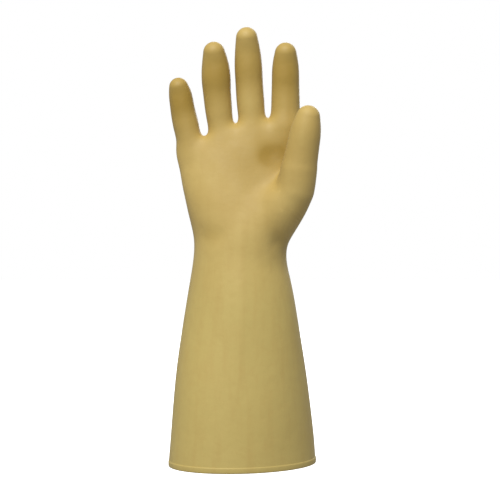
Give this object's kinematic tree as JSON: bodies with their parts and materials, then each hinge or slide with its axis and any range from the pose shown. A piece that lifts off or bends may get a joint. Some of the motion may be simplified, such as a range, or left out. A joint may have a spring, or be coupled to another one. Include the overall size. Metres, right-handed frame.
{
  "type": "electrical insulating glove",
  "caption": "Right-hand insulating glove of natural latex with a long flared cuff, closed finger and thumb stalls, and a wrist and fingers that bend.",
  "frame": {"origin": "middle of the rim, in the plane that the glove stands on", "axes": "+Z from the cuff to the fingertips, -Y out of the palm, +X to the thumb side"},
  "size_m": [0.1239, 0.0994, 0.36],
  "materials": {
    "latex_shell": "satin",
    "latex_fold": "satin",
    "latex_rim": "satin"
  },
  "bodies": {
    "gauntlet": {"cuff_rim": "latex_rim", "gauntlet": "latex_shell"},
    "wrist": {"wrist_ring": "latex_shell", "wrist_flex_fold": "latex_fold"},
    "hand": {"palm_shell": "latex_shell", "knuckle_shell": "latex_shell", "wrist_tilt_fold": "latex_fold"},
    "thumb_ring": {"thumb_ring": "latex_shell", "thumb_swing_fold": "latex_fold"},
    "thumb_base": {"thumb_base": "latex_shell", "thumb_root_fold": "latex_fold"},
    "thumb_tip": {"thumb_tip": "latex_shell", "thumb_tip_fold": "latex_fold"},
    "index_base": {"index_base": "latex_shell", "index_root_fold": "latex_fold"},
    "index_middle": {"index_middle": "latex_shell", "index_middle_fold": "latex_fold"},
    "index_tip": {"index_tip": "latex_shell", "index_tip_fold": "latex_fold"},
    "middle_base": {"middle_base": "latex_shell", "middle_root_fold": "latex_fold"},
    "middle_middle": {"middle_middle": "latex_shell", "middle_middle_fold": "latex_fold"},
    "middle_tip": {"middle_tip": "latex_shell", "middle_tip_fold": "latex_fold"},
    "ring_base": {"ring_base": "latex_shell", "ring_root_fold": "latex_fold"},
    "ring_middle": {"ring_middle": "latex_shell", "ring_middle_fold": "latex_fold"},
    "ring_tip": {"ring_tip": "latex_shell", "ring_tip_fold": "latex_fold"},
    "little_base": {"little_base": "latex_shell", "little_root_fold": "latex_fold"},
    "little_middle": {"little_middle": "latex_shell", "little_middle_fold": "latex_fold"},
    "little_tip": {"little_tip": "latex_shell", "little_tip_fold": "latex_fold"}
  },
  "joints": [
    {"name": "wrist_flex", "type": "hinge", "parent": "gauntlet", "child": "wrist", "pos_m": [-0.00214, 0, 0.16], "axis": [1, 0, 0], "range_deg": [-35, 35], "stiffness_Nm_per_rad": 2, "deforming": ["wrist_flex_fold"]},
    {"name": "wrist_tilt", "type": "hinge", "parent": "wrist", "child": "hand", "pos_m": [-0.00129, 0, 0.1845], "axis": [0, 1, 0], "range_deg": [-16, 16], "stiffness_Nm_per_rad": 2, "deforming": ["wrist_tilt_fold"]},
    {"name": "thumb_swing", "type": "hinge", "parent": "hand", "child": "thumb_ring", "pos_m": [0.04466, -0.02864, 0.23511], "axis": [0.9839, 0, -0.1789], "range_deg": [-6, 18], "stiffness_Nm_per_rad": 0.12, "deforming": ["thumb_swing_fold"]},
    {"name": "thumb_root_bend", "type": "hinge", "parent": "thumb_ring", "child": "thumb_base", "pos_m": [0.03855, -0.03112, 0.24565], "axis": [0, 0.9735, 0.2286], "range_deg": [-45, 20], "stiffness_Nm_per_rad": 0.1, "deforming": ["thumb_root_fold"]},
    {"name": "thumb_tip_bend", "type": "hinge", "parent": "thumb_base", "child": "thumb_tip", "pos_m": [0.04389, -0.03598, 0.26638], "axis": [0, 0.9735, 0.2286], "range_deg": [-65, 10], "stiffness_Nm_per_rad": 0.05, "deforming": ["thumb_tip_fold"]},
    {"name": "index_root_bend", "type": "hinge", "parent": "hand", "child": "index_base", "pos_m": [0.03578, -0.00954, 0.29207], "axis": [1, 0, 0.0035], "range_deg": [-10, 70], "stiffness_Nm_per_rad": 0.06, "deforming": ["index_root_fold"]},
    {"name": "index_middle_bend", "type": "hinge", "parent": "index_base", "child": "index_middle", "pos_m": [0.03571, -0.01032, 0.31101], "axis": [1, 0, 0.0035], "range_deg": [0, 80], "stiffness_Nm_per_rad": 0.05, "deforming": ["index_middle_fold"]},
    {"name": "index_tip_bend", "type": "hinge", "parent": "index_middle", "child": "index_tip", "pos_m": [0.03565, -0.01208, 0.32772], "axis": [1, 0, 0.0035], "range_deg": [0, 50], "stiffness_Nm_per_rad": 0.03, "deforming": ["index_tip_fold"]},
    {"name": "middle_root_bend", "type": "hinge", "parent": "hand", "child": "middle_base", "pos_m": [0.00745, -0.00921, 0.29167], "axis": [0.9974, 0, 0.0715], "range_deg": [-10, 70], "stiffness_Nm_per_rad": 0.06, "deforming": ["middle_root_fold"]},
    {"name": "middle_middle_bend", "type": "hinge", "parent": "middle_base", "child": "middle_middle", "pos_m": [0.00575, -0.01057, 0.31543], "axis": [0.9974, 0, 0.0715], "range_deg": [0, 80], "stiffness_Nm_per_rad": 0.05, "deforming": ["middle_middle_fold"]},
    {"name": "middle_tip_bend", "type": "hinge", "parent": "middle_middle", "child": "middle_tip", "pos_m": [0.00428, -0.01314, 0.33593], "axis": [0.9974, 0, 0.0715], "range_deg": [0, 50], "stiffness_Nm_per_rad": 0.03, "deforming": ["middle_tip_fold"]},
    {"name": "ring_root_bend", "type": "hinge", "parent": "hand", "child": "ring_base", "pos_m": [-0.0187, -0.00877, 0.28767], "axis": [0.9952, 0, 0.0976], "range_deg": [-10, 70], "stiffness_Nm_per_rad": 0.06, "deforming": ["ring_root_fold"]},
    {"name": "ring_middle_bend", "type": "hinge", "parent": "ring_base", "child": "ring_middle", "pos_m": [-0.02074, -0.01046, 0.30842], "axis": [0.9952, 0, 0.0976], "range_deg": [0, 80], "stiffness_Nm_per_rad": 0.05, "deforming": ["ring_middle_fold"]},
    {"name": "ring_tip_bend", "type": "hinge", "parent": "ring_middle", "child": "ring_tip", "pos_m": [-0.02252, -0.01261, 0.32661], "axis": [0.9952, 0, 0.0976], "range_deg": [0, 50], "stiffness_Nm_per_rad": 0.03, "deforming": ["ring_tip_fold"]},
    {"name": "little_root_bend", "type": "hinge", "parent": "hand", "child": "little_base", "pos_m": [-0.04618, -0.0091, 0.27806], "axis": [0.9781, 0, 0.2079], "range_deg": [-10, 70], "stiffness_Nm_per_rad": 0.06, "deforming": ["little_root_fold"]},
    {"name": "little_middle_bend", "type": "hinge", "parent": "little_base", "child": "little_middle", "pos_m": [-0.04903, -0.00942, 0.29147], "axis": [0.9781, 0, 0.2079], "range_deg": [0, 80], "stiffness_Nm_per_rad": 0.05, "deforming": ["little_middle_fold"]},
    {"name": "little_tip_bend", "type": "hinge", "parent": "little_middle", "child": "little_tip", "pos_m": [-0.05167, -0.01042, 0.30389], "axis": [0.9781, 0, 0.2079], "range_deg": [0, 50], "stiffness_Nm_per_rad": 0.03, "deforming": ["little_tip_fold"]}
  ]
}
